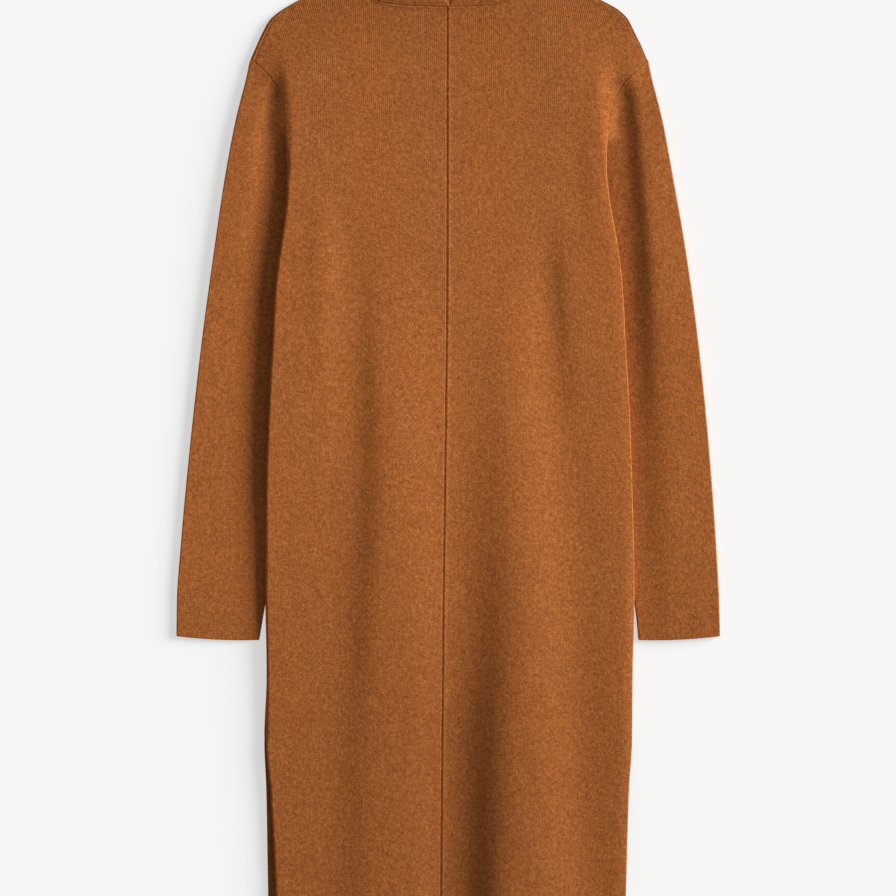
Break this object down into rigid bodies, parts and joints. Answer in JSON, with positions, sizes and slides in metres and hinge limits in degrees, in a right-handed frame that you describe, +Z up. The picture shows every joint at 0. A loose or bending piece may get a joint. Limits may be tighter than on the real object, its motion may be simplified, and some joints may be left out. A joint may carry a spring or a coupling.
{
  "type": "drape cardigan laid flat",
  "caption": "Long fine-knit drape cardigan laid flat with its back up, open front, draped collar, long sleeves and side slits.",
  "frame": {"origin": "middle of the bounding box, on the surface that the garment lies on", "axes": "+Y from hem to collar, +Z up off the surface, +X to the wearer's right; the back faces up"},
  "size_m": [0.576, 1.21, 0.0206],
  "materials": {
    "knit": "rust brown milled wool knit, matt, softly felted, fine rib lines"
  },
  "bodies": {
    "root": {"back_left": "knit", "back_right": "knit", "front_left": "knit", "front_right": "knit", "collar_left": "knit", "collar_right": "knit", "sleeve_left": "knit", "sleeve_right": "knit"}
  },
  "joints": []
}
